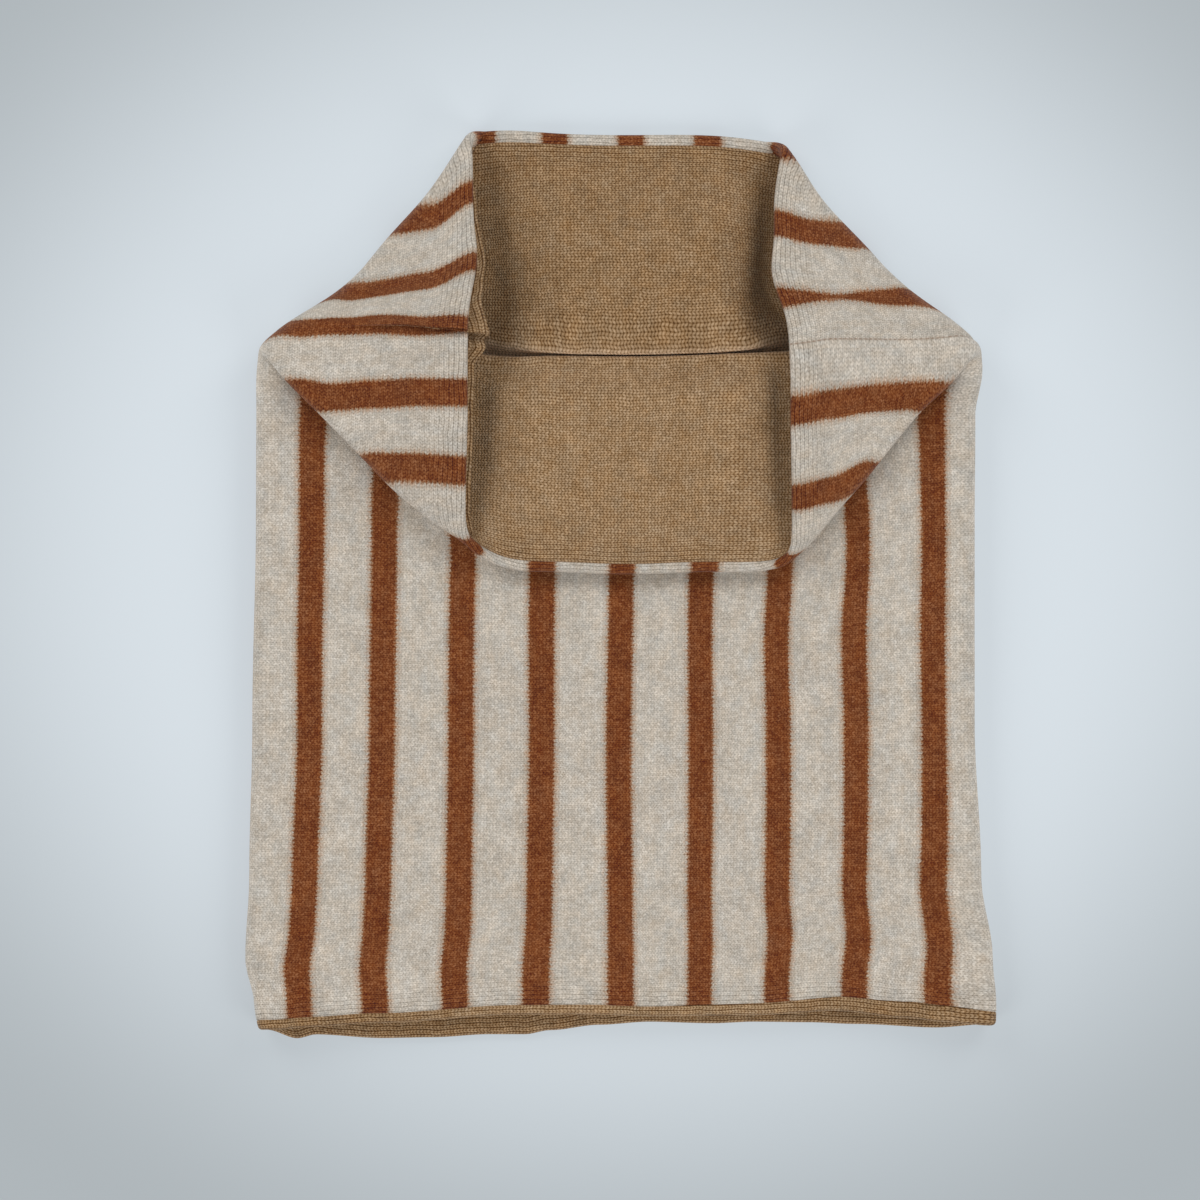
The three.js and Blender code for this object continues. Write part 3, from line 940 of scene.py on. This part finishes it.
# Colours of the yarns on the scale that the eye sees, and what changes their tone. The gap part of
# each tone is painted shade: the yarn is painted darker in the gaps between its stitches
EYE_GAMMA = 2.2
GREY = (1.0, 1.0, 1.0)
WARM = (0.06, 0.0, -0.06)
OAT = (0.794, 0.759, 0.713)
RUST = (0.500, 0.295, 0.160)
CAMEL = (0.670, 0.552, 0.422)
SEAM_THREAD = (0.50, 0.40, 0.33)
DARKEST = (0.02, 0.02, 0.02)
OAT_TONE_AND_GAP_SHADE = {"heather": 0.20, "stitch": 0.10, "fuzz": 0.24, "gap": 0.24}
RUST_TONE_AND_GAP_SHADE = {"heather": 0.16, "stitch": 0.12, "fuzz": 0.28, "gap": 0.25}
CAMEL_TONE_AND_GAP_SHADE = {"heather": 0.15, "stitch": 0.10, "fuzz": 0.18, "gap": 0.31}
STRIPE_FUZZ = 1.4  # how far fuzz moves a stripe's edge
STRIPE_SOFT = 0.8
FRINGE = 2.6  # how far the rust yarn's fluff tints the oat beside it
FRINGE_SHARE = 0.3  # how much of it, and how much that differs between stitches
FRINGE_SPREAD = 0.6
THREAD_PITCH = 2.2  # of the seam's stitches along the cloth
THREAD_GAP = (0.1, 0.35)
THREAD_LEAST = 0.21  # its tint between two stitches, and how much stronger it is on them
THREAD_MORE = 0.28
THREAD_WIDTH = (0.1, 0.5)
# Painted light: the lining's turned front is painted paler than its back, which stands for the back
# lying in deeper shade
TURNED_FRONT_PAINTED_LIGHT = {"amount": 0.035, "ends": (56.0, 80.0)}  # how much paler the lining's turned front is
# Painted light: the lining is painted paler along the crease between the back and the front, as the
# nap that fills it would be lit from above more than the crease's back
CREASE_PAINTED_LIGHT = {"amount": 0.34, "side": 1.0, "along": 3.5, "reach": (1.5, 5.0)}


def stitches(tree, around, along, knit):
    """Knitted V stitches: height of the yarn, a number of each leg and how far it climbs."""
    gaps = knit["gaps"]
    place = along / knit["wale"]
    leg = abs(place.rest() - 0.5) * 2
    climbed = around / knit["course"] + leg * knit["slant"]
    between_courses = abs(climbed.rest() * 2 - 1).ramp(*YARN_EDGE)
    between_legs = abs((place * 2).rest() * 2 - 1).ramp(*YARN_EDGE)
    between_wales = leg.ramp(*WALE_EDGE)
    middle = (MOUTH - BODY_LENGTH) / 2
    edge = MOUTH - middle
    pulled = abs(along - middle).ramp(edge - PULL_FROM, edge - PULL_FULL) * gaps["pulled"]
    gap = between_courses * gaps["courses"] + between_legs * gaps["legs"]
    gap = gap + between_wales * (pulled + gaps["wales"])
    gap = gap + between_courses * between_legs * gaps["crossings"]
    height = gap.math("MULTIPLY_ADD", -1.0, 1.0, clamp=True)
    stitch = chance(tree, climbed.floor(), (place * 2).floor())
    return height, stitch, (leg - 0.5) * (knit["slant"] * knit["course"])


def knit_material(name, knit, paint):
    """A jersey whose colour paint works out from its place, its yarns' height and its fuzz."""
    material = bpy.data.materials.new(name)
    material.use_nodes = True
    tree = material.node_tree
    shader = tree.nodes["Principled BSDF"]
    around, along = split_map(tree, "Cloth")
    bend = noise(tree, around, along, BEND)
    height, stitch, climb = stitches(tree, around + bend, along + bend, knit)
    fuzz = noise(tree, around, along, FUZZ)
    colour = paint(tree, around, along, height, stitch, climb, fuzz)
    feed(tree, to_light(tree, colour), shader.inputs["Base Color"])
    bumps = tree.nodes.new("ShaderNodeBump")
    bumps.inputs["Strength"].default_value = RELIEF_STRENGTH
    bumps.inputs["Distance"].default_value = knit["relief"] * MM
    feed(tree, height * RELIEF_YARN + fuzz * RELIEF_FUZZ, bumps.inputs["Height"])
    tree.links.new(bumps.outputs[0], shader.inputs["Normal"])
    for socket, value in YARN_SURFACE.items():
        shader.inputs[socket].default_value = value
    return material


def tone_with_gap_shade(parts, heather, stitch, fuzz, height):
    """How much paler a yarn is at a place than its own colour, with painted shade that darkens it
    in the gaps between its stitches.
    """
    tone = heather * parts["heather"] + stitch * parts["stitch"] + fuzz * parts["fuzz"]
    # painted shade: darker in the gaps between the stitches
    return tone + (height - 1) * parts["gap"]


def yarn(tree, colour, tone, warm):
    return tinted(tree, tinted(tree, colour, tone, GREY), warm, WARM)


def striped_paint(tree, around, along, height, stitch, climb, fuzz):
    """Oat with rust stripes, whose edges run from stitch to stitch, and the seam's thread."""
    edge, way = split_map(tree, "Stripes")
    heather = noise(tree, around, along, OAT_HEATHER)
    warm = noise(tree, around, along, OAT_WARMTH)
    oat = yarn(tree, OAT, tone_with_gap_shade(OAT_TONE_AND_GAP_SHADE, heather, stitch, fuzz, height), warm)
    rust = yarn(tree, RUST, tone_with_gap_shade(RUST_TONE_AND_GAP_SHADE, heather, stitch, fuzz, height), warm)
    outside = edge + way * climb + fuzz * STRIPE_FUZZ
    fringe = (outside / -FRINGE + 1).math("MAXIMUM", 0.0)
    share = stitch * FRINGE_SPREAD + FRINGE_SHARE
    fringed = mixed(tree, fringe.math("MULTIPLY", share, clamp=True), oat, rust)
    cloth = mixed(tree, outside.ramp(-STRIPE_SOFT, STRIPE_SOFT), rust, fringed)
    from_seam = abs(abs(around - AROUND / 2) - AROUND / 2)
    on_thread = abs((along / THREAD_PITCH).rest() - 0.5).ramp(*THREAD_GAP)
    thread = (on_thread * THREAD_MORE + THREAD_LEAST) * from_seam.fade(*THREAD_WIDTH, 1.0)
    return mixed(tree, thread, cloth, SEAM_THREAD)


def camel_paint(tree, around, along, height, stitch, climb, fuzz):
    """Plain camel, painted paler on the turned front and in the crease as painted light."""
    heather = noise(tree, around, along, CAMEL_HEATHER)
    warm = noise(tree, around, along, CAMEL_WARMTH)
    # painted light: paler on the turned front
    front = abs(around - 3 * HALF_WIDTH).fade(*TURNED_FRONT_PAINTED_LIGHT["ends"], TURNED_FRONT_PAINTED_LIGHT["amount"])
    back_ends = (HALF_WIDTH - CREASE_PAINTED_LIGHT["side"], HALF_WIDTH + CREASE_PAINTED_LIGHT["side"])
    back = abs(around - HALF_WIDTH).fade(*back_ends, CREASE_PAINTED_LIGHT["amount"])
    # painted light: paler along the crease between the back and the front's fold
    crease = abs(along - CREASE_PAINTED_LIGHT["along"]).fade(*CREASE_PAINTED_LIGHT["reach"], 1.0) * back
    tone = tone_with_gap_shade(CAMEL_TONE_AND_GAP_SHADE, heather, stitch, fuzz, height) + front + crease
    return yarn(tree, CAMEL, tone, warm)


def add_object(name, mesh, material):
    piece = bpy.data.objects.new(name, mesh)
    bpy.context.scene.collection.objects.link(piece)
    mesh.materials.append(material)
    return piece


# The two cloths
outer_knit = knit_material("outer_knit", OUTER_KNIT, striped_paint)
lining_knit = knit_material("lining_knit", LINING_KNIT, camel_paint)
outer_mesh = tube_mesh("outer_jersey", outer_cut())
lining_mesh = tube_mesh("lining_jersey", lining_cut(), peeking)
outer = add_object("outer_jersey", outer_mesh, outer_knit)
lining = add_object("lining_jersey", lining_mesh, lining_knit)
pieces = [  # piece, the solid that it replaces, slot
    (outer, "outer_tube", "outer_knit"),
    (lining, "lining_tube", "lining_knit"),
]
for piece, node, slot in pieces:
    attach(piece, "root")
    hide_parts(node)

# Camera straight above the middle of the photographed view
VIEW_MIDDLE = (-0.0081, -0.0055)
VIEW_SIZE = 0.468
VIEW_LEVEL = 0.008  # height over the table at which the view is that wide
CAMERA_HEIGHT = 1.5
camera_data = bpy.data.cameras.new("camera")
camera_data.sensor_width = 36.0
camera_data.lens = camera_data.sensor_width * (CAMERA_HEIGHT - VIEW_LEVEL) / VIEW_SIZE
camera = bpy.data.objects.new("camera", camera_data)
camera.location = (*VIEW_MIDDLE, CAMERA_HEIGHT)
bpy.context.scene.collection.objects.link(camera)
bpy.context.scene.camera = camera

# The table, painted brightest under the snood and darker towards its edges as a painted pool of
# light, and glowing from below
TABLE_HALF = 3.0
TABLE_COLOUR = (0.69, 0.755, 0.81)
TABLE_EDGE_PAINTED_SHADE = (0.425, 0.467, 0.495)
TABLE_GLOW = 0.6  # share of its light that comes through the table from below
BRIGHT_MIDDLE = (0.0, 0.02, 0.0)
BRIGHT_STRETCH = (1.0, 1.14, 1.0)
BRIGHT_FADE = (0.17, 0.36)
TABLE_SURFACE = {"Roughness": 0.7, "Specular IOR Level": 0.2}


def table_material():
    material = bpy.data.materials.new("table_paint")
    material.use_nodes = True
    tree = material.node_tree
    shader = tree.nodes["Principled BSDF"]
    geometry = tree.nodes.new("ShaderNodeNewGeometry")
    position = Wire(tree, geometry.outputs["Position"])
    stretched = vector_math(tree, "MULTIPLY", position, BRIGHT_STRETCH)
    # painted light: the table's colour falls off away from the middle
    darker = vector_math(tree, "DISTANCE", stretched, BRIGHT_MIDDLE).ramp(*BRIGHT_FADE)
    colour = mixed(tree, darker, TABLE_COLOUR, TABLE_EDGE_PAINTED_SHADE)
    feed(tree, mixed(tree, TABLE_GLOW, colour, (0.0, 0.0, 0.0)), shader.inputs["Base Color"])
    feed(tree, colour, shader.inputs["Emission Color"])
    shader.inputs["Emission Strength"].default_value = TABLE_GLOW
    for socket, value in TABLE_SURFACE.items():
        shader.inputs[socket].default_value = value
    return material


corners = [(x * TABLE_HALF, y * TABLE_HALF, 0) for x, y in ((-1, -1), (1, -1), (1, 1), (-1, 1))]
table_mesh = bpy.data.meshes.new("table")
table_mesh.from_pydata(corners, [], [(0, 1, 2, 3)])
table = add_object("table", table_mesh, table_material())

# A tent of light: four soft panels round the table and the pale room
PANELS = 4
PANEL_AWAY = 1.3
PANEL_HEIGHT = 0.8
PANEL_SIZE = 0.9
PANEL_POWER = 7.4
PANEL_COLOUR = (1.0, 0.98, 0.945)
ROOM_COLOUR = (0.97, 0.985, 1.0, 1.0)
ROOM_LIGHT = 0.35


def panel(name, angle):
    """A soft disc of light that looks at the middle of the table from an angle round it."""
    data = bpy.data.lights.new(name, "AREA")
    data.shape = "DISK"
    data.size = PANEL_SIZE
    data.energy = PANEL_POWER
    data.color = PANEL_COLOUR
    light = bpy.data.objects.new(name, data)
    light.location = (PANEL_AWAY * math.cos(angle), PANEL_AWAY * math.sin(angle), PANEL_HEIGHT)
    light.rotation_euler = (math.atan2(PANEL_AWAY, PANEL_HEIGHT), 0, angle + math.pi / 2)
    bpy.context.scene.collection.objects.link(light)


for turn in range(PANELS):
    panel(f"panel_{turn}", 2 * math.pi * (turn + 0.5) / PANELS)
world = bpy.data.worlds.new("room")
world.use_nodes = True
background = world.node_tree.nodes["Background"]
background.inputs["Color"].default_value = ROOM_COLOUR
background.inputs["Strength"].default_value = ROOM_LIGHT
bpy.context.scene.world = world
bpy.context.scene.view_settings.view_transform = "Standard"
